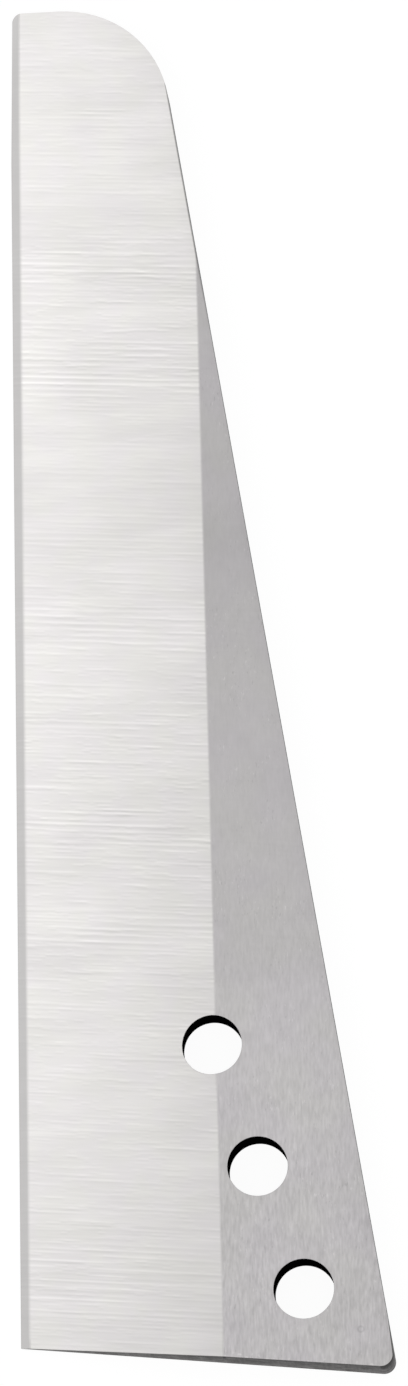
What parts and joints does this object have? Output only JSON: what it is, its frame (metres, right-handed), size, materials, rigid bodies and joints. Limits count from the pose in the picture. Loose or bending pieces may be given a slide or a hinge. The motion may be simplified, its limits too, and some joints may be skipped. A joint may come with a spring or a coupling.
{
  "type": "cable shear blade",
  "caption": "Flat ground steel blade for shearing cable: a straight edge bevelled from one side, a leaning spine with a rounded tip, and a slanting row of bolt holes at the heel.",
  "frame": {"origin": "centre of the middle bolt hole at the flat back face", "axes": "+Y along the cutting edge from the bolted heel to the tip, +X across the blade from the cutting edge to the spine, +Z out of the bevelled side, along the bolt holes"},
  "size_m": [0.0806, 0.3096, 0.008],
  "materials": {
    "ground_steel": "cross-ground bevels, lengthwise ground flats, dark scale in the holes and on the heel end"
  },
  "bodies": {
    "root": {"shear_blade": "ground_steel"}
  },
  "joints": []
}
